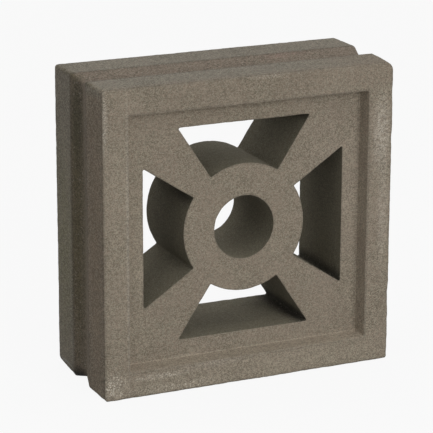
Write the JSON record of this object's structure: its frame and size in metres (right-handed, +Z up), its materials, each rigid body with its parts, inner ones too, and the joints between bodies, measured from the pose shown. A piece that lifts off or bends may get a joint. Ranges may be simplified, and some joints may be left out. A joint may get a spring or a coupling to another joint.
{
  "type": "breeze block",
  "caption": "Square cast screen block with pierced openings around a ring, recessed panels and a mortar groove round its edges.",
  "frame": {"origin": "middle of the lower edge that the block stands on, at mid depth", "axes": "+X across the width to the right seen from the front, +Y through the depth from the front face to the back face, +Z up"},
  "size_m": [0.2, 0.08, 0.2],
  "materials": {
    "concrete": "matt cast sand and cement"
  },
  "bodies": {
    "root": {"breeze_block": "concrete"}
  },
  "joints": []
}
